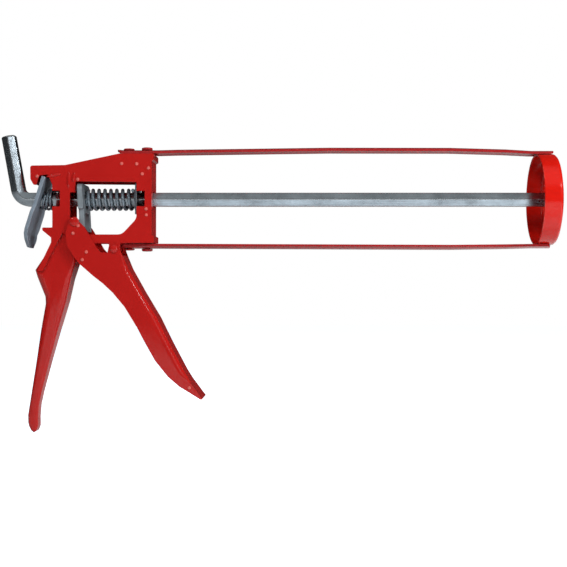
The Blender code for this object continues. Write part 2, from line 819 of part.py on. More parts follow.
def make_lever():
    """Release lever: a plate hooked in the rear notch, with a wide thumb tongue below the rod."""
    ear = FRAME_HALF + LEVER_EARS
    tongue = FRAME_HALF + LEVER_TONGUE
    outline = [
        (-ear, 0.5, 0.8),
        (-ear, -17.0, 3.0),
        (-tongue, -21.0, 3.0),
        (-tongue, -31.0, 3.0),
        (-tongue + 3.0, -37.5, 4.0),
        (-4.0, -41.8, 3.0),
        (4.0, -41.8, 3.0),
        (tongue - 3.0, -37.5, 4.0),
        (tongue, -31.0, 3.0),
        (tongue, -21.0, 3.0),
        (ear, -17.0, 3.0),
        (ear, 0.5, 0.8),
    ]
    half = LEVER_SHEET / 2
    bm = prism(rounded(outline), -half, half, axis="X", bevel=0.3)
    lean = math.radians(LEVER_LEAN)
    kink = -34.0 * MM
    geom = list(bm.verts) + list(bm.edges) + list(bm.faces)
    bmesh.ops.bisect_plane(bm, geom=geom, plane_co=(0, 0, kink), plane_no=(0, 0, 1), dist=1e-6)
    for vert in bm.verts:
        if vert.co.z < kink:
            vert.co.x += (kink - vert.co.z) * math.tan(lean * 0.9)
    bmesh.ops.rotate(bm, verts=bm.verts, matrix=Matrix.Rotation(lean, 3, "Y"))
    bmesh.ops.translate(bm, verts=bm.verts, vec=Vector((HINGE[0], 0, HINGE[1])) * MM)
    lever = add(bm, "release_lever", PARTS, ZINC, origin=(HINGE[0], 0, HINGE[1]))
    hole = bore(0, ROD_BORE / 2 + 0.25, -6, 6, z=-HINGE[1] / math.cos(lean))
    bmesh.ops.rotate(hole, verts=hole.verts, matrix=Matrix.Rotation(lean, 3, "Y"))
    bmesh.ops.translate(hole, verts=hole.verts, vec=Vector((HINGE[0], 0, HINGE[1])) * MM)
    cut(lever, hole, "rod_bore")
    return lever


clear_scene()
PARTS = collection("skeleton_caulking_gun")
CUTTERS = collection("cutters", hidden=True)
RED = material("red_enamel", (0.52, 0.012, 0.012), 0.0, 0.3)
ZINC = material("zinc_plate", (0.48, 0.53, 0.57), 1.0, 0.35)
STEEL = material("spring_steel", (0.08, 0.085, 0.1), 1.0, 0.4)

make_frame()
make_handle()
make_guide()
make_straps()
make_rivets()
make_ring()
make_rod()
make_piston()
make_trigger()
make_pins()
make_drive()
make_springs()
make_lever()
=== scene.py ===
"""Looks for a skeleton caulking gun: red enamelled sheet frame, zinc plated push rod, springs and cradle.

Lengths are in metres in the shared frame, with the push rod along X. Most pieces are finished copies of the
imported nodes. The springs are wound again, and the raised beads and ribs are added.
"""

import math

import bmesh
import bpy
from mathutils import Matrix, Vector


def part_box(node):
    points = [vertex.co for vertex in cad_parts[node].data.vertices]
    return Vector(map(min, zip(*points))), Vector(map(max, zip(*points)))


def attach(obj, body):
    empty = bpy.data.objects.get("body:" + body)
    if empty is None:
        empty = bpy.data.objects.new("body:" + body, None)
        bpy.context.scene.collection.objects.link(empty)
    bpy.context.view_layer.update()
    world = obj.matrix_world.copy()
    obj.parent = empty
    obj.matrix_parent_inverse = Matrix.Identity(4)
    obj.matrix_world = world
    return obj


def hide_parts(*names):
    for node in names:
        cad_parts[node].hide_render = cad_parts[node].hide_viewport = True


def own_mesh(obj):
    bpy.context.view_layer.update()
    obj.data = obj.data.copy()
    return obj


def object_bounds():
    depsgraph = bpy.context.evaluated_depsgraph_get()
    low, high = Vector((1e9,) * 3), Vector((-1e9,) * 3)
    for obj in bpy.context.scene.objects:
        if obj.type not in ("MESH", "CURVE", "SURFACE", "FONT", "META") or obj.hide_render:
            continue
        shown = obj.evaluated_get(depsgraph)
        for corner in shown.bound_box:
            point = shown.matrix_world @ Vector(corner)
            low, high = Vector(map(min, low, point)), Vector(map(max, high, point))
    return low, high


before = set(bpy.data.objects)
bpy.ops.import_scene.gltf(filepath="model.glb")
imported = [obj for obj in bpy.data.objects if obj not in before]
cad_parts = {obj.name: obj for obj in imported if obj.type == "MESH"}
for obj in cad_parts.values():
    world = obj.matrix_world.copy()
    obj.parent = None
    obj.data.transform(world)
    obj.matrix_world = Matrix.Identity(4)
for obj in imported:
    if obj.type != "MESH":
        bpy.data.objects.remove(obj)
CAD_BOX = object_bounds()

bl_info = {
    "name": "Skeleton Caulking Gun",
    "version": (1, 0, 0),
    "blender": (4, 5, 0),
    "location": "3D View > Sidebar > Caulking Gun",
    "description": "Builds the finished look of a skeleton caulking gun around its packed frame",
    "category": "Object",
}

MM = 0.001
SEAT = Vector((-0.0745, 0.0, 0.04916))  # rod axis at the cartridge seat
RED = "red_enamel"
ZINC = "zinc_plate"
STEEL = "spring_steel"


# ---------------------------------------------------------------- sizes and colours


class GunSizes(bpy.types.PropertyGroup):
    """Sizes that change how the pieces are finished."""

    sheet_edge: bpy.props.FloatProperty(
        name="Sheet edge",
        description="How far the edges of folded sheet are eased",
        default=0.00028,
        min=0.00005,
        max=0.0006,
        unit="LENGTH",
    )
    rod_corner: bpy.props.FloatProperty(
        name="Rod corner",
        description="Radius of the drawn corners of the hexagonal rod",
        default=0.00045,
        min=0.0001,
        max=0.001,
        unit="LENGTH",
    )
    main_wire: bpy.props.FloatProperty(
        name="Main spring wire",
        description="Wire thickness of the main spring",
        default=0.0019,
        min=0.001,
        max=0.0024,
        unit="LENGTH",
    )
    main_turns: bpy.props.FloatProperty(
        name="Main spring turns",
        description="Turns of the main spring",
        default=8.0,
        min=5.0,
        max=12.0,
    )
    release_wire: bpy.props.FloatProperty(
        name="Release spring wire",
        description="Wire thickness of the release spring",
        default=0.0014,
        min=0.0008,
        max=0.0016,
        unit="LENGTH",
    )
    orange_peel: bpy.props.FloatProperty(
        name="Orange peel",
        description="How strongly the enamel ripples",
        default=0.04,
        min=0.0,
        max=1.0,
        subtype="FACTOR",
    )


class GunColours(bpy.types.PropertyGroup):
    """Finishes of the gun, as linear colours."""

    enamel: bpy.props.FloatVectorProperty(
        name="Frame enamel",
        description="Red enamel of the frame, handle and trigger",
        subtype="COLOR",
        size=3,
        default=(0.43, 0.0105, 0.0085),
        min=0.0,
        max=1.0,
    )
    # The paler red of the raised beads is a painted highlight on them, not a paint of their own.
    bead_highlight: bpy.props.FloatVectorProperty(
        name="Bead enamel",
        description="Thin, paler enamel over the beads and ribs",
        subtype="COLOR",
        size=3,
        default=(0.66, 0.12, 0.1),
        min=0.0,
        max=1.0,
    )
    strap: bpy.props.FloatVectorProperty(
        name="Strap enamel",
        description="Red enamel of the cradle straps",
        subtype="COLOR",
        size=3,
        default=(0.34, 0.016, 0.018),
        min=0.0,
        max=1.0,
    )
    ring: bpy.props.FloatVectorProperty(
        name="Ring enamel",
        description="Red enamel of the front ring",
        subtype="COLOR",
        size=3,
        default=(0.6, 0.009, 0.004),
        min=0.0,
        max=1.0,
    )
    zinc: bpy.props.FloatVectorProperty(
        name="Zinc plate",
        description="Bluish zinc of the push rod and the drive plate",
        subtype="COLOR",
        size=3,
        default=(0.5, 0.58, 0.64),
        min=0.0,
        max=1.0,
    )
    dull_zinc: bpy.props.FloatVectorProperty(
        name="Dull zinc",
        description="Duller zinc of the front guide and the spring washer",
        subtype="COLOR",
        size=3,
        default=(0.33, 0.38, 0.44),
        min=0.0,
        max=1.0,
    )
    lever: bpy.props.FloatVectorProperty(
        name="Lever grey",
        description="Matt grey of the release lever",
        subtype="COLOR",
        size=3,
        default=(0.26, 0.32, 0.39),
        min=0.0,
        max=1.0,
    )
    spring: bpy.props.FloatVectorProperty(
        name="Spring steel",
        description="Dark oiled spring wire",
        subtype="COLOR",
        size=3,
        default=(0.3, 0.37, 0.43),
        min=0.0,
        max=1.0,
    )


# ---------------------------------------------------------------- node trees


class Nodes:
    """Adds nodes to a tree, with their inputs set or linked in one call."""

    def __init__(self, tree):
        self.tree = tree

    def add(self, kind, inputs=None, **settings):
        node = self.tree.nodes.new(kind)
        for key, value in settings.items():
            setattr(node, key, value)
        for key, value in (inputs or {}).items():
            if isinstance(value, bpy.types.NodeSocket):
                self.tree.links.new(value, node.inputs[key])
            else:
                node.inputs[key].default_value = value
        return node

    def math(self, operation, first, second=0.0):
        kind = "ShaderNodeMath"
        return self.add(kind, {0: first, 1: second}, operation=operation).outputs[0]

    def between(self, value, low, high, start=0.0, end=1.0):
        inputs = {"Value": value, "From Min": low, "From Max": high, "To Min": start, "To Max": end}
        return self.add("ShaderNodeMapRange", inputs).outputs["Result"]

    def mix(self, factor, first, second):
        inputs = {0: factor, 6: first, 7: second}
        made = self.add("ShaderNodeMix", inputs, data_type="RGBA")
        return made.outputs[2]

    def noise(self, place, scale, detail=3.0, roughness=0.5):
        inputs = {"Vector": place, "Scale": scale, "Detail": detail, "Roughness": roughness}
        return self.add("ShaderNodeTexNoise", inputs).outputs["Fac"]


def new_group(name, inputs, outputs, kind="ShaderNodeTree"):
    """A node group with its named sockets, and the helper that fills it."""
    tree = bpy.data.node_groups.new(name, kind)
    for label, sort, default in inputs:
        made = tree.interface.new_socket(name=label, in_out="INPUT", socket_type=sort)
        if default is not None:
            made.default_value = default
    for label, sort in outputs:
        tree.interface.new_socket(name=label, in_out="OUTPUT", socket_type=sort)
    nodes = Nodes(tree)
    source = nodes.add("NodeGroupInput")
    sink = nodes.add("NodeGroupOutput")
    return tree, nodes, source.outputs, sink.inputs


COLOUR = "NodeSocketColor"
VALUE = "NodeSocketFloat"


def enamel_group():
    """Sprayed enamel: cloudy depth of colour, orange peel, dust nibs and thin paint on sharp edges."""
    inputs = [
        ("Shade", COLOUR, (0.5, 0.01, 0.01, 1.0)),
        ("Gloss", VALUE, 0.2),
        ("Peel Scale", VALUE, 700.0),
        ("Edge Wear", VALUE, 0.4),
    ]
    outputs = [("Colour", COLOUR), ("Roughness", VALUE), ("Height", VALUE)]
    tree, n, given, out = new_group("sprayed_enamel", inputs, outputs)
    place = n.add("ShaderNodeTexCoord").outputs["Object"]
    cloud = n.noise(place, 45.0, 3.0)
    deep = n.mix(0.16, given["Shade"], (0.25, 0.0, 0.0, 1.0))
    colour = n.mix(n.between(cloud, 0.35, 0.7), given["Shade"], deep)
    nibs = n.noise(place, 1500.0, 1.0)
    nib_mask = n.between(nibs, 0.74, 0.8)
    colour = n.mix(n.math("MULTIPLY", nib_mask, 0.25), colour, (0.8, 0.2, 0.16, 1.0))
    edge = n.add("ShaderNodeAttribute", attribute_name="edge").outputs["Fac"]
    patch = n.between(n.noise(place, 130.0, 4.0, 0.6), 0.5, 0.62)
    worn = n.math("MULTIPLY", n.math("MULTIPLY", edge, patch), given["Edge Wear"])
    colour = n.mix(worn, colour, (0.72, 0.13, 0.1, 1.0))
    peel = n.noise(place, given["Peel Scale"], 2.0, 0.45)
    handled = n.between(n.noise(place, 26.0, 2.0), 0.3, 0.75, -0.02, 0.03)
    rough = n.math("ADD", given["Gloss"], handled)
    rough = n.math("ADD", rough, n.math("MULTIPLY", worn, 0.3))
    n.tree.links.new(colour, out["Colour"])
    n.tree.links.new(rough, out["Roughness"])
    height = n.math("ADD", peel, n.math("MULTIPLY", nib_mask, 0.4))
    n.tree.links.new(height, out["Height"])
    return tree


def metal_group():
    """Plated metal: soft clouding, fine drawn lines along one way, small pits and rubbed edges."""
    inputs = [
        ("Shade", COLOUR, (0.5, 0.55, 0.6, 1.0)),
        ("Dark Shade", COLOUR, (0.2, 0.22, 0.26, 1.0)),
        ("Dullness", VALUE, 0.3),
        ("Line Stretch", "NodeSocketVector", (40.0, 1600.0, 1600.0)),
        ("Patch Scale", VALUE, 90.0),
        ("Pits", VALUE, 0.5),
    ]
    outputs = [("Colour", COLOUR), ("Roughness", VALUE), ("Height", VALUE)]
    tree, n, given, out = new_group("plated_metal", inputs, outputs)
    place = n.add("ShaderNodeTexCoord").outputs["Object"]
    lines_place = n.add("ShaderNodeMapping", {"Vector": place, "Scale": given["Line Stretch"]})
    lines = n.noise(lines_place.outputs[0], 1.0, 3.0, 0.6)
    patch = n.noise(place, given["Patch Scale"], 4.0, 0.6)
    spots = n.noise(place, 820.0, 2.0, 0.5)
    pit = n.math("MULTIPLY", n.between(spots, 0.63, 0.7), given["Pits"])
    colour = n.mix(n.between(patch, 0.3, 0.72, 0.0, 0.7), given["Shade"], given["Dark Shade"])
    colour = n.mix(n.between(lines, 0.35, 0.7, 0.0, 0.35), colour, given["Dark Shade"])
    colour = n.mix(pit, colour, given["Dark Shade"])
    edge = n.add("ShaderNodeAttribute", attribute_name="edge").outputs["Fac"]
    colour = n.mix(n.math("MULTIPLY", edge, 0.4), colour, (0.75, 0.78, 0.8, 1.0))
    rough = n.math("ADD", given["Dullness"], n.between(patch, 0.3, 0.7, -0.04, 0.1))
    rough = n.math("ADD", rough, n.between(lines, 0.3, 0.7, -0.05, 0.08))
    height = n.math("SUBTRACT", n.math("MULTIPLY", lines, 0.6), pit)
    n.tree.links.new(colour, out["Colour"])
    n.tree.links.new(rough, out["Roughness"])
    n.tree.links.new(height, out["Height"])
    return tree


def group_of(name):
    makers = {"sprayed_enamel": enamel_group, "plated_metal": metal_group}
    return bpy.data.node_groups.get(name) or makers[name]()


def surface(name, group, values, bump, depth, **sockets):
    """A material whose shader takes its colour, roughness and bump from one shared group."""
    made = bpy.data.materials.get(name)
    if made:
        return made
    made = bpy.data.materials.new(name)
    made.use_nodes = True
    shader = made.node_tree.nodes["Principled BSDF"]
    n = Nodes(made.node_tree)
    skin = n.add("ShaderNodeGroup", node_tree=group_of(group))
    for key, value in values.items():
        skin.inputs[key].default_value = value
    inputs = {"Height": skin.outputs["Height"], "Strength": bump, "Distance": depth}
    normal = n.add("ShaderNodeBump", inputs).outputs["Normal"]
    links = made.node_tree.links
    links.new(skin.outputs["Colour"], shader.inputs["Base Color"])
    links.new(skin.outputs["Roughness"], shader.inputs["Roughness"])
    links.new(normal, shader.inputs["Normal"])
    for key, value in sockets.items():
        shader.inputs[key.replace("_", " ")].default_value = value
    made.diffuse_color = values["Shade"]
    return made


def enamel(name, shade, gloss=0.1, wear=0.35, specular=0.35):
    peel = bpy.context.scene.gun_sizes.orange_peel
    values = {"Shade": (*shade, 1.0), "Gloss": gloss, "Peel Scale": 520.0, "Edge Wear": wear}
    return surface(
        name,
        "sprayed_enamel",
        values,
        peel,
        0.00012,
        Specular_IOR_Level=specular,
        Coat_Weight=0.12,
        Coat_Roughness=0.08,
    )


def plated(
    name,
    shade,
    dark,
    dullness,
    stretch=(40.0, 1600.0, 1600.0),
    pits=0.4,
    patch=90.0,
    metallic=1.0,
    bump=0.25,
):
    values = {
        "Shade": (*shade, 1.0),
        "Dark Shade": (*dark, 1.0),
        "Dullness": dullness,
        "Line Stretch": stretch,
        "Pits": pits,
        "Patch Scale": patch,
    }
    return surface(name, "plated_metal", values, bump, 0.00006, Metallic=metallic)


def frame_red():
    return enamel("frame_enamel", bpy.context.scene.gun_colours.enamel)


# The beads' paler enamel is a painted highlight on them.
def bead_highlight_red():
    return enamel("bead_enamel", bpy.context.scene.gun_colours.bead_highlight, 0.12, specular=0.8)


def strap_red():
    return enamel("strap_enamel", bpy.context.scene.gun_colours.strap, 0.24, specular=0.3)


def ring_red():
    return enamel("ring_enamel", bpy.context.scene.gun_colours.ring, 0.12)


def rod_zinc():
    shade = tuple(bpy.context.scene.gun_colours.zinc)
    return plated("rod_zinc", shade, tuple(c * 0.42 for c in shade), 0.2, bump=0.1)


def dull_zinc():
    shade = tuple(bpy.context.scene.gun_colours.dull_zinc)
    dark = tuple(c * 0.5 for c in shade)
    return plated("dull_zinc", shade, dark, 0.42, (500.0, 500.0, 60.0), 0.3, 70.0)


def lever_grey():
    shade = tuple(bpy.context.scene.gun_colours.lever)
    dark = tuple(c * 0.72 for c in shade)
    return plated("lever_grey", shade, dark, 0.45, (700.0, 700.0, 70.0), 0.25, 80.0, metallic=0.35)


def plate_zinc():
    shade = tuple(c * 0.66 for c in bpy.context.scene.gun_colours.zinc)
    dark = tuple(c * 0.55 for c in shade)
    return plated("plate_zinc", shade, dark, 0.36, (500.0, 500.0, 80.0), 0.3, 110.0, metallic=0.45)


def spring_black():
    shade = tuple(bpy.context.scene.gun_colours.spring)
    dark = tuple(c * 0.45 for c in shade)
    return plated("spring_black", shade, dark, 0.22, (900.0, 900.0, 900.0), 0.2, 160.0, metallic=0.7)


# ---------------------------------------------------------------- mesh helpers


def new_object(name, mesh):
    made = bpy.data.objects.new(name, mesh)
    bpy.context.scene.collection.objects.link(made)
    return made


def bake(obj):
    """Swaps an object's live modifiers for the plain mesh that they give."""
    bpy.context.view_layer.update()
    graph = bpy.context.evaluated_depsgraph_get()
    done = obj.evaluated_get(graph)
    mesh = bpy.data.meshes.new_from_object(done, preserve_all_data_layers=True, depsgraph=graph)
    obj.modifiers.clear()
    old = obj.data
    obj.data = mesh
    mesh.name = obj.name
    bpy.data.meshes.remove(old)
    return obj


def place(obj, body, slot, *nodes):
    """Rides a finished piece on its body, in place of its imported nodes."""
    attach(obj, body)
    if nodes:
        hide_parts(*nodes)
    return obj


def finish_mesh(obj, finish, width, angle=38.0, steps=2):
    """Eases the sharp edges, marks them for wear, and shades the rest smoothly."""
    mesh = obj.data
    mesh.materials.clear()
    mesh.materials.append(finish)
    mesh.materials.append(finish)
    mesh.shade_smooth()
    ease = obj.modifiers.new("ease", "BEVEL")
    ease.width = width
    ease.segments = steps
    ease.limit_method = "ANGLE"
    ease.angle_limit = math.radians(angle)
    ease.miter_outer = "MITER_ARC"
    ease.use_clamp_overlap = True
    ease.material = 1
    weigh = obj.modifiers.new("weigh", "WEIGHTED_NORMAL")
    weigh.keep_sharp = True
    weigh.weight = 80
    bake(obj)
    mesh = obj.data
    marks = mesh.attributes.new("edge", "FLOAT", "FACE")
    marks.data.foreach_set("value", [float(p.material_index) for p in mesh.polygons])
    mesh.polygons.foreach_set("material_index", [0] * len(mesh.polygons))
    mesh.materials.pop(index=1)
    return obj


def copy_of(node, name, angle=0.6):
    """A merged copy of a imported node's shape, with its flat faces joined up."""
    bm = bmesh.new()
    bm.from_mesh(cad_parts[node].data)
    bmesh.ops.remove_doubles(bm, verts=bm.verts, dist=2e-6)
    bmesh.ops.dissolve_limit(
        bm, angle_limit=math.radians(angle), verts=bm.verts, edges=bm.edges, use_dissolve_boundaries=False
    )
    mesh = bpy.data.meshes.new(name)
    bm.to_mesh(mesh)
    bm.free()
    return new_object(name, mesh)


def sheet_piece(node, name, body, finish, slot, width=None, angle=38.0, steps=2):
    """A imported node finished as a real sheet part: eased edges, smooth folds, its own finish."""
    width = width or bpy.context.scene.gun_sizes.sheet_edge
    obj = finish_mesh(copy_of(node, name), finish, width, angle, steps)
    return place(obj, body, slot, node)


def turned(name, profile, axis, centre, finish, steps=64, smooth=34.0):
    """A profile of (along, radius) points turned about an axis through centre."""
    bm = bmesh.new()
    rings = []
    for along, radius in profile:
        if radius == 0:
            rings.append([bm.verts.new((along, 0, 0))])
            continue
        ring = []
        for k in range(steps):
            t = math.tau * k / steps
            ring.append(bm.verts.new((along, radius * math.cos(t), radius * math.sin(t))))
        rings.append(ring)
    pairs = list(zip(rings, rings[1:]))
    if profile[0][1] and profile[-1][1]:
        pairs.append((rings[-1], rings[0]))
    for first, second in pairs:
        for k in range(steps):
            n = (k + 1) % steps
            if len(first) == 1 and len(second) == 1:
                continue
            if len(first) == 1:
                bm.faces.new((first[0], second[n], second[k]))
            elif len(second) == 1:
                bm.faces.new((first[k], first[n], second[0]))
            else:
                bm.faces.new((first[k], first[n], second[n], second[k]))
    turns = {"X": Matrix.Identity(3), "Y": Matrix.Rotation(math.pi / 2, 3, "Z")}
    turns["Z"] = Matrix.Rotation(-math.pi / 2, 3, "Y")
    bmesh.ops.rotate(bm, verts=bm.verts, matrix=turns[axis])
    bmesh.ops.translate(bm, verts=bm.verts, vec=Vector(centre))
    bmesh.ops.recalc_face_normals(bm, faces=bm.faces)
    mesh = bpy.data.meshes.new(name)
    bm.to_mesh(mesh)
    bm.free()
    mesh.shade_smooth()
    mesh.set_sharp_from_angle(angle=math.radians(smooth))
    mesh.materials.append(finish)
    return new_object(name, mesh)


# ---------------------------------------------------------------- geometry nodes


def spring_tree():
    """Wire wound along X, with closed end turns and a rear end that can lean."""
    inputs = [
        ("Turns", VALUE, 9.0),
        ("Coil Radius", VALUE, 0.0055),
        ("Wire", VALUE, 0.0019),
        ("Rear", VALUE, 0.0),
        ("Front", VALUE, 0.03),
        ("Start Angle", VALUE, 0.0),
        ("Closed Turns", VALUE, 0.9),
        ("Closed Share", VALUE, 0.06),
        ("Lean Slope", VALUE, 0.0),
        ("Axis Height", VALUE, 0.0),
        ("Points", "NodeSocketInt", 400),
        ("Finish", "NodeSocketMaterial", None),
    ]
    outputs = [("Geometry", "NodeSocketGeometry")]
    tree, n, given, out = new_group("wound_spring", inputs, outputs, "GeometryNodeTree")
    line = n.add("GeometryNodeCurvePrimitiveLine", {"End": (1.0, 0.0, 0.0)})
    run = n.add("GeometryNodeResampleCurve", {"Curve": line.outputs[0], "Count": given["Points"]})
    t = n.add("GeometryNodeSplineParameter").outputs["Factor"]
    angle = n.math("MULTIPLY", n.math("MULTIPLY", t, given["Turns"]), math.tau)
    angle = n.math("ADD", angle, given["Start Angle"])
    part = n.math("DIVIDE", given["Closed Turns"], given["Turns"])
    share = given["Closed Share"]
    open_share = n.math("SUBTRACT", 1.0, n.math("MULTIPLY", share, 2.0))
    late = n.math("SUBTRACT", 1.0, part)
    along = n.between(t, 0.0, part, 0.0, share)
    along = n.math("ADD", along, n.between(t, part, late, 0.0, open_share))
    along = n.math("ADD", along, n.between(t, late, 1.0, 0.0, share))
    across = n.math("MULTIPLY", n.math("SINE", angle), n.math("MULTIPLY", given["Coil Radius"], -1.0))
    up = n.math("MULTIPLY", n.math("COSINE", angle), given["Coil Radius"])
    length = n.math("SUBTRACT", given["Front"], given["Rear"])
    x = n.math("ADD", given["Rear"], n.math("MULTIPLY", along, length))
    lean = n.math("MULTIPLY", n.math("MULTIPLY", up, given["Lean Slope"]), n.math("SUBTRACT", 1.0, along))
    x = n.math("ADD", x, lean)
    z = n.math("ADD", up, given["Axis Height"])
    spot = n.add("ShaderNodeCombineXYZ", {0: x, 1: across, 2: z}).outputs[0]
    path = n.add("GeometryNodeSetPosition", {"Geometry": run.outputs[0], "Position": spot})
    half = n.math("MULTIPLY", given["Wire"], 0.5)
    wire = n.add("GeometryNodeCurvePrimitiveCircle", {"Resolution": 16, "Radius": half})
    sweep = {"Curve": path.outputs[0], "Profile Curve": wire.outputs[0], "Fill Caps": True}
    body = n.add("GeometryNodeCurveToMesh", sweep)
    solid = n.add("GeometryNodeRealizeInstances", {"Geometry": body.outputs[0]})
    paint = {"Geometry": solid.outputs[0], "Material": given["Finish"]}
    done = n.add("GeometryNodeSetMaterial", paint)
    n.tree.links.new(done.outputs[0], out["Geometry"])
    return tree


def rivet_tree():
    """One small head on each point, turned, spun and stretched by the point's own values."""
    inputs = [
        ("Geometry", "NodeSocketGeometry", None),
        ("Head", "NodeSocketObject", None),
        ("Finish", "NodeSocketMaterial", None),
    ]
    outputs = [("Geometry", "NodeSocketGeometry")]
    tree, n, given, out = new_group("head_row", inputs, outputs, "GeometryNodeTree")
    head = n.add("GeometryNodeObjectInfo", {"Object": given["Head"]})
    own = {}
    for key in ("turn", "spin", "long", "rise"):
        own[key] = n.add("GeometryNodeInputNamedAttribute", {"Name": key}).outputs["Attribute"]
    roll = n.add("ShaderNodeCombineXYZ", {0: own["turn"], 1: own["spin"]}).outputs[0]
    size = n.add("ShaderNodeCombineXYZ", {0: own["long"], 1: 1.0, 2: own["rise"]}).outputs[0]
    spread = {
        "Points": given["Geometry"],
        "Instance": head.outputs["Geometry"],
        "Rotation": roll,
        "Scale": size,
    }
    row = n.add("GeometryNodeInstanceOnPoints", spread)
    solid = n.add("GeometryNodeRealizeInstances", {"Geometry": row.outputs[0]})
    paint = {"Geometry": solid.outputs[0], "Material": given["Finish"]}
    done = n.add("GeometryNodeSetMaterial", paint)
    n.tree.links.new(done.outputs[0], out["Geometry"])
    return tree


def head_row(name, profile, spots, finish, steps=24):
    """Copies of a turned head at spots of (place, turn, spin, long, rise), as one plain mesh."""
    head = turned(f"{name}_head", profile, "Z", (0, 0, 0), finish, steps)
    mesh = bpy.data.meshes.new(name)
    mesh.from_pydata([place for place, *_ in spots], [], [])
    for i, key in enumerate(("turn", "spin", "long", "rise"), 1):
        values = mesh.attributes.new(key, "FLOAT", "POINT")
        values.data.foreach_set("value", [spot[i] for spot in spots])
    obj = grow(new_object(name, mesh), rivet_tree, {"Head": head, "Finish": finish})
    bpy.data.objects.remove(head)
    return obj


def grow(obj, maker, values):
    """Runs a geometry tree on an object with named values, and leaves the plain mesh."""
    names = {spring_tree: "wound_spring", rivet_tree: "head_row"}
    tree = bpy.data.node_groups.get(names[maker]) or maker()
    modifier = obj.modifiers.new("grow", "NODES")
    modifier.node_group = tree
    for item in tree.interface.items_tree:
        if item.in_out == "INPUT" and item.name in values:
            modifier[item.identifier] = values[item.name]
    bake(obj)
    obj.data.shade_smooth()
    return obj


# ---------------------------------------------------------------- pieces


def seat_point(x, y, z):
    """A point given in millimetres from the rod's axis at the cartridge seat."""
    return SEAT + Vector((x, y, z)) * MM


class GUN_OT_frame(bpy.types.Operator):
    """Builds the folded frame, the handle channel and the front guide"""

    bl_idname = "gun.frame"
    bl_label = "Frame and Handle"

    def execute(self, context):
        red = frame_red()
        sheet_piece("frame_body", "frame_plates", "frame", red, RED)
        sheet_piece("handle_channel", "handle", "frame", red, RED)
        sheet_piece("front_guide", "rod_guide", "frame", dull_zinc(), ZINC)
        return {"FINISHED"}


class GUN_OT_trigger(bpy.types.Operator):
    """Builds the folded trigger and its rivets"""

    bl_idname = "gun.trigger"
    bl_label = "Trigger"

    def execute(self, context):
        red = frame_red()
        sheet_piece("trigger", "trigger_lever", "trigger", red, RED)
        sheet_piece("trigger_pivot", "pivot_rivet", "frame", red, RED, 0.0002)
        for side in ("left", "right"):
            sheet_piece(f"push_pin_{side}", f"push_rivet_{side}", "trigger", red, RED, 0.0002)
        return {"FINISHED"}


class GUN_OT_drive(bpy.types.Operator):
    """Builds the drive plate and the release lever"""

    bl_idname = "gun.drive"
    bl_label = "Drive Plate and Release Lever"

    def execute(self, context):
        sheet_piece("drive_plate", "gripping_plate", "drive", plate_zinc(), ZINC, 0.0003)
        sheet_piece("release_lever", "thumb_lever", "lever", lever_grey(), ZINC, 0.0004, steps=3)
        return {"FINISHED"}


class GUN_OT_cradle(bpy.types.Operator):
    """Builds the two cradle straps and the front ring"""

    bl_idname = "gun.cradle"
    bl_label = "Cradle"

    def execute(self, context):
        strap = strap_red()
        sheet_piece("top_strap", "upper_strap", "frame", strap, RED, 0.0003)
        sheet_piece("bottom_strap", "lower_strap", "frame", strap, RED, 0.0003)
        sheet_piece("front_ring", "cartridge_ring", "frame", ring_red(), RED, 0.0002)
        return {"FINISHED"}


class GUN_OT_rivets(bpy.types.Operator):
    """Builds the four strap rivets"""

    bl_idname = "gun.rivets"
    bl_label = "Strap Rivets"

    def execute(self, context):
        red = strap_red()
        for side in ("top", "bottom"):
            for mark in ("a", "b"):
                node = f"strap_rivet_{side}_{mark}"
                sheet_piece(node, f"rivet_{side}_{mark}", "frame", red, RED, 0.0002)
        return {"FINISHED"}


# Raised marks. Places are millimetres from the rod's axis at the seat, ribs add a turn and a length
BEAD_PROFILE = (
    (-0.0001, 0.0),
    (-0.0001, 0.001),
    (0.0001, 0.00097),
    (0.0003, 0.00082),
    (0.00045, 0.0006),
    (0.00054, 0.0003),
    (0.00057, 0.0),
)
RIB_WIDTH = 1.6
RIB_RISE = 1.1
FRAME_BEADS = (
    (-17.4, 20.3),
    (-8.7, 20.1),
    (-1.9, 17.7),
    (-5.5, 14.3),
    (-3.3, -6.0),
    (-3.1, -9.5),
    (-42.8, 11.1),
    (-66.3, 12.9),
)
TRIGGER_BEADS = ((-42.3, -15.8), (-45.2, -20.2), (-37.5, -31.0), (-39.9, -35.5), (22.0, -109.5))
FRAME_RIBS = ((-56.7, 13.5, 12.0, 7.0), (-48.1, 10.9, 90.0, 8.0), (-45.0, 12.6, 80.0, 5.0))


def both_sides(half, x, z, spin=0.0, long=1.0, rise=1.0):
    """The same raised mark on the near and the far face of a pair of plates."""
    spots = []
    for side in (-1, 1):
        place = seat_point(x, side * half, z)
        spots.append((place, -side * math.pi / 2, math.radians(-spin), long, rise))
    return spots


class GUN_OT_marks(bpy.types.Operator):
    """Raises the small enamel beads and the pressed ribs on the frame and the trigger; the beads are in a
    paler red, a painted highlight
    """

    bl_idname = "gun.marks"
    bl_label = "Beads and Ribs"

    def execute(self, context):
        # Paler red with a painted highlight, for the beads only
        red = bead_highlight_red()
        frame_half = -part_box("frame_body")[0].y / MM
        spots = []
        for x, z in FRAME_BEADS:
            spots += both_sides(frame_half, x, z)
        place(head_row("frame_marks", BEAD_PROFILE, spots, red), "frame", RED)
        spots = []
        for x, z, spin, length in FRAME_RIBS:
            spots += both_sides(frame_half, x, z, spin, length / RIB_WIDTH, RIB_RISE)
        place(head_row("frame_ribs", BEAD_PROFILE, spots, frame_red()), "frame", RED)
        spots = []
        trigger_half = -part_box("trigger")[0].y / MM
        for x, z in TRIGGER_BEADS:
            spots += both_sides(trigger_half, x, z)
        place(head_row("trigger_marks", BEAD_PROFILE, spots, red), "trigger", RED)
        return {"FINISHED"}


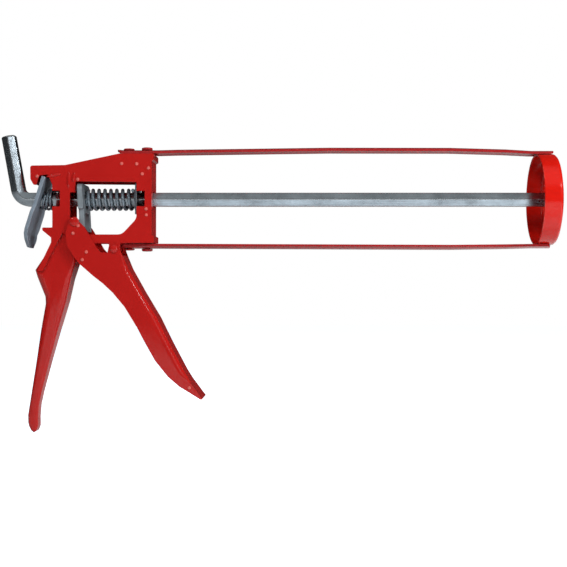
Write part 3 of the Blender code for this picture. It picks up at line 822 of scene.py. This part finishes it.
class GUN_OT_rod(bpy.types.Operator):
    """Builds the bent hexagonal push rod and its piston"""

    bl_idname = "gun.rod"
    bl_label = "Push Rod"

    def execute(self, context):
        zinc = rod_zinc()
        corner = context.scene.gun_sizes.rod_corner
        sheet_piece("hex_rod", "push_rod", "rod", zinc, ZINC, corner, 30.0, 3)
        sheet_piece("piston_disc", "piston_plate", "rod", dull_zinc(), ZINC, 0.0002)
        sheet_piece("piston_collar", "piston_washer", "rod", zinc, ZINC, 0.0002)
        sheet_piece("piston_rivet", "piston_rivet_head", "rod", zinc, ZINC, 0.0002)
        return {"FINISHED"}


LEVER_LEAN = 17.4  # degrees that the release lever leans at rest


class GUN_OT_springs(bpy.types.Operator):
    """Winds the main spring and the release spring, and finishes the spring washer"""

    bl_idname = "gun.springs"
    bl_label = "Springs"

    def execute(self, context):
        black = spring_black()
        sizes = context.scene.gun_sizes
        jobs = (
            ("main_spring", "drive_spring", sizes.main_wire, sizes.main_turns, 0.4, 0.7, 0.0),
            ("release_spring", "lever_spring", sizes.release_wire, 2.8, 1.2, 0.5, LEVER_LEAN),
        )
        for node, name, wire, turns, start, closed, lean in jobs:
            low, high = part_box(node)
            radius = (high.y - low.y) / 2 - wire / 2
            slope = math.tan(math.radians(lean))
            rear = low.x + wire / 2 + radius * slope
            front = high.x - wire / 2
            values = {
                "Turns": turns,
                "Coil Radius": radius,
                "Wire": wire,
                "Rear": rear,
                "Front": front,
                "Start Angle": start,
                "Closed Turns": closed,
                "Closed Share": closed * wire * 1.04 / (front - rear),
                "Lean Slope": slope,
                "Axis Height": SEAT.z,
                "Points": int(turns * 48),
                "Finish": black,
            }
            obj = new_object(name, bpy.data.meshes.new(name))
            grow(obj, spring_tree, values)
            place(obj, "frame", STEEL, node)
            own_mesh(obj)
        sheet_piece("spring_washer", "spring_seat", "frame", dull_zinc(), STEEL, 0.0002)
        return {"FINISHED"}


# ---------------------------------------------------------------- stage


# Lights: name, place, aim, side, power, whether reflections show them
LIGHTS = (
    ("key", (0.6, -0.45, 0.34), (0.0, 0.0, 0.0), 0.25, 3.4, False),
    ("fill", (-0.2, -0.85, 0.5), (0.0, 0.0, 0.0), 0.5, 4.4, False),
    ("rim", (0.5, 0.3, 0.2), (-0.05, 0.0, 0.0), 0.3, 2.5, False),
    ("spark", (0.436, -0.48, 0.37), (-0.06, 0.0, 0.0), 0.08, 0.45, True),
    ("spark_left", (-0.5, -0.6, 0.5), (-0.08, 0.0, 0.0), 0.08, 0.3, True),
)


def area_light(name, spot, aim, side, energy, shiny):
    """A soft light; only a shiny one shows in reflections."""
    lamp = bpy.data.lights.new(name, "AREA")
    lamp.shape = "SQUARE"
    lamp.size = side
    lamp.energy = energy
    obj = bpy.data.objects.new(name, lamp)
    obj.location = spot
    obj.rotation_euler = (Vector(aim) - Vector(spot)).to_track_quat("-Z", "Y").to_euler()
    obj.visible_glossy = shiny
    bpy.context.scene.collection.objects.link(obj)
    return obj


# Soft boxes seen in the room: direction, where their edge starts and ends, brightness, tint
SOFT_BOXES = (
    ((0.66, -0.65, 0.37), 0.93, 0.98, 0.62, (1.0, 1.0, 1.0)),
    ((0.05, -0.5, 0.866), 0.8, 0.96, 0.37, (1.0, 1.0, 0.98)),
)
ROOM_FRONT = 0.09
ROOM_BACK = 0.025


def build_world():
    """White to the eye; for light and reflections a dark room with soft boxes above and to the right."""
    world = bpy.data.worlds.new("studio")
    bpy.context.scene.world = world
    world.use_nodes = True
    tree = world.node_tree
    tree.nodes.clear()
    n = Nodes(tree)
    way = n.add("ShaderNodeTexCoord").outputs["Generated"]
    depth = n.add("ShaderNodeSeparateXYZ", {0: way}).outputs["Y"]
    level = n.between(depth, -1.0, 0.0, ROOM_FRONT, ROOM_BACK)
    room = n.add("ShaderNodeCombineXYZ", {0: level, 1: level, 2: level}).outputs[0]
    for direction, start, end, strength, tint in SOFT_BOXES:
        aim = Vector(direction).normalized()
        dot = n.add("ShaderNodeVectorMath", {0: way, 1: aim}, operation="DOT_PRODUCT").outputs["Value"]
        glow = n.add(
            "ShaderNodeMapRange",
            {"Value": dot, "From Min": start, "From Max": end, "To Max": strength},
            interpolation_type="SMOOTHSTEP",
        ).outputs["Result"]
        lit = n.add("ShaderNodeVectorMath", {0: tint, "Scale": glow}, operation="SCALE").outputs[0]
        room = n.add("ShaderNodeVectorMath", {0: room, 1: lit}, operation="ADD").outputs[0]
    shade = n.add("ShaderNodeBackground", {"Color": room, "Strength": 1.0})
    white = n.add("ShaderNodeBackground", {"Color": (1.0, 1.0, 1.0, 1.0), "Strength": 1.0})
    seen = n.add("ShaderNodeLightPath").outputs["Is Camera Ray"]
    blend = n.add("ShaderNodeMixShader", {0: seen, 1: shade.outputs[0], 2: white.outputs[0]})
    out = n.add("ShaderNodeOutputWorld")
    tree.links.new(blend.outputs[0], out.inputs[0])


FLOOR_HALF = 1.6
FLOOR_GAP = 0.0006
BAND_MIDDLE = 0.085  # how far in front of the rod the bright band lies
BAND_EDGE = (0.025, 0.055)
BAND_STRENGTH = 0.4
BAND_LEFT = (-0.115, -0.09)
BAND_RIGHT = (-0.09, 0.2)
BAND_FADE = 0.78


def build_floor():
    """A pale floor, evenly white to the eye and brighter in reflections in front of the gun."""
    low = CAD_BOX[0]
    half = FLOOR_HALF
    level = low.z - FLOOR_GAP
    corners = ((-half, -half), (half, -half), (half, half), (-half, half))
    mesh = bpy.data.meshes.new("floor")
    mesh.from_pydata([(x, y, level) for x, y in corners], [], [(0, 1, 2, 3)])
    pale = bpy.data.materials.new("floor_pale")
    pale.use_nodes = True
    shader = pale.node_tree.nodes["Principled BSDF"]
    shader.inputs["Base Color"].default_value = (0.8, 0.8, 0.8, 1.0)
    shader.inputs["Roughness"].default_value = 0.9
    shader.inputs["Specular IOR Level"].default_value = 0.0
    n = Nodes(pale.node_tree)
    path = n.add("ShaderNodeLightPath").outputs
    spot = n.add("ShaderNodeTexCoord").outputs["Object"]
    depth = n.add("ShaderNodeSeparateXYZ", {0: spot}).outputs["Y"]
    off = n.math("ABSOLUTE", n.math("ADD", depth, BAND_MIDDLE))
    band = n.between(off, *BAND_EDGE, BAND_STRENGTH, 0.0)
    side = n.add("ShaderNodeSeparateXYZ", {0: spot}).outputs["X"]
    band = n.math("MULTIPLY", band, n.between(side, *BAND_LEFT))
    band = n.math("MULTIPLY", band, n.between(side, *BAND_RIGHT, 1.0, BAND_FADE))
    shine = n.math("MULTIPLY", path["Is Glossy Ray"], band)
    glow = n.math("ADD", path["Is Camera Ray"], shine)
    pale.node_tree.links.new(glow, shader.inputs["Emission Strength"])
    shader.inputs["Emission Color"].default_value = (0.86, 1.0, 1.1, 1.0)
    mesh.materials.append(pale)
    floor = new_object("floor", mesh)


LENS = 69.3
LENS_SHIFT = -0.038
CAMERA_PLACE = (0.0143, -0.642, -0.00007)


def build_camera():
    lens = bpy.data.cameras.new("view")
    lens.sensor_width = 36.0
    lens.lens = LENS
    lens.shift_x = LENS_SHIFT
    lens.clip_start = 0.01
    lens.dof.use_dof = False
    camera = bpy.data.objects.new("view", lens)
    camera.location = CAMERA_PLACE
    camera.rotation_euler = (math.radians(90), 0, 0)
    bpy.context.scene.collection.objects.link(camera)
    bpy.context.scene.camera = camera


class GUN_OT_stage(bpy.types.Operator):
    """Sets the floor, the studio light and the camera"""

    bl_idname = "gun.stage"
    bl_label = "Stage"

    def execute(self, context):
        context.scene.view_settings.view_transform = "Standard"
        build_world()
        build_floor()
        for light in LIGHTS:
            area_light(*light)
        build_camera()
        return {"FINISHED"}


# ---------------------------------------------------------------- panel and run


STEPS = ("stage", "frame", "trigger", "marks", "drive", "cradle", "rivets", "rod", "springs")


class GUN_PT_panel(bpy.types.Panel):
    """Lists the sizes, the colours and the building steps"""

    bl_label = "Caulking Gun"
    bl_idname = "GUN_PT_panel"
    bl_space_type = "VIEW_3D"
    bl_region_type = "UI"
    bl_category = "Caulking Gun"

    def draw(self, context):
        column = self.layout.column()
        for group in (context.scene.gun_sizes, context.scene.gun_colours):
            for key in group.__annotations__:
                column.prop(group, key)
        for step in STEPS:
            column.operator(f"gun.{step}")


CLASSES = (
    GunSizes,
    GunColours,
    GUN_OT_stage,
    GUN_OT_frame,
    GUN_OT_trigger,
    GUN_OT_drive,
    GUN_OT_cradle,
    GUN_OT_rivets,
    GUN_OT_marks,
    GUN_OT_rod,
    GUN_OT_springs,
    GUN_PT_panel,
)


def register():
    for cls in CLASSES:
        bpy.utils.register_class(cls)
    bpy.types.Scene.gun_sizes = bpy.props.PointerProperty(type=GunSizes)
    bpy.types.Scene.gun_colours = bpy.props.PointerProperty(type=GunColours)


def unregister():
    del bpy.types.Scene.gun_colours
    del bpy.types.Scene.gun_sizes
    for cls in reversed(CLASSES):
        bpy.utils.unregister_class(cls)


def main():
    register()
    for step in STEPS:
        result = getattr(bpy.ops.gun, step)()
        if result != {"FINISHED"}:
            raise RuntimeError(f"gun.{step} didn't finish")


if __name__ == "__main__":
    main()
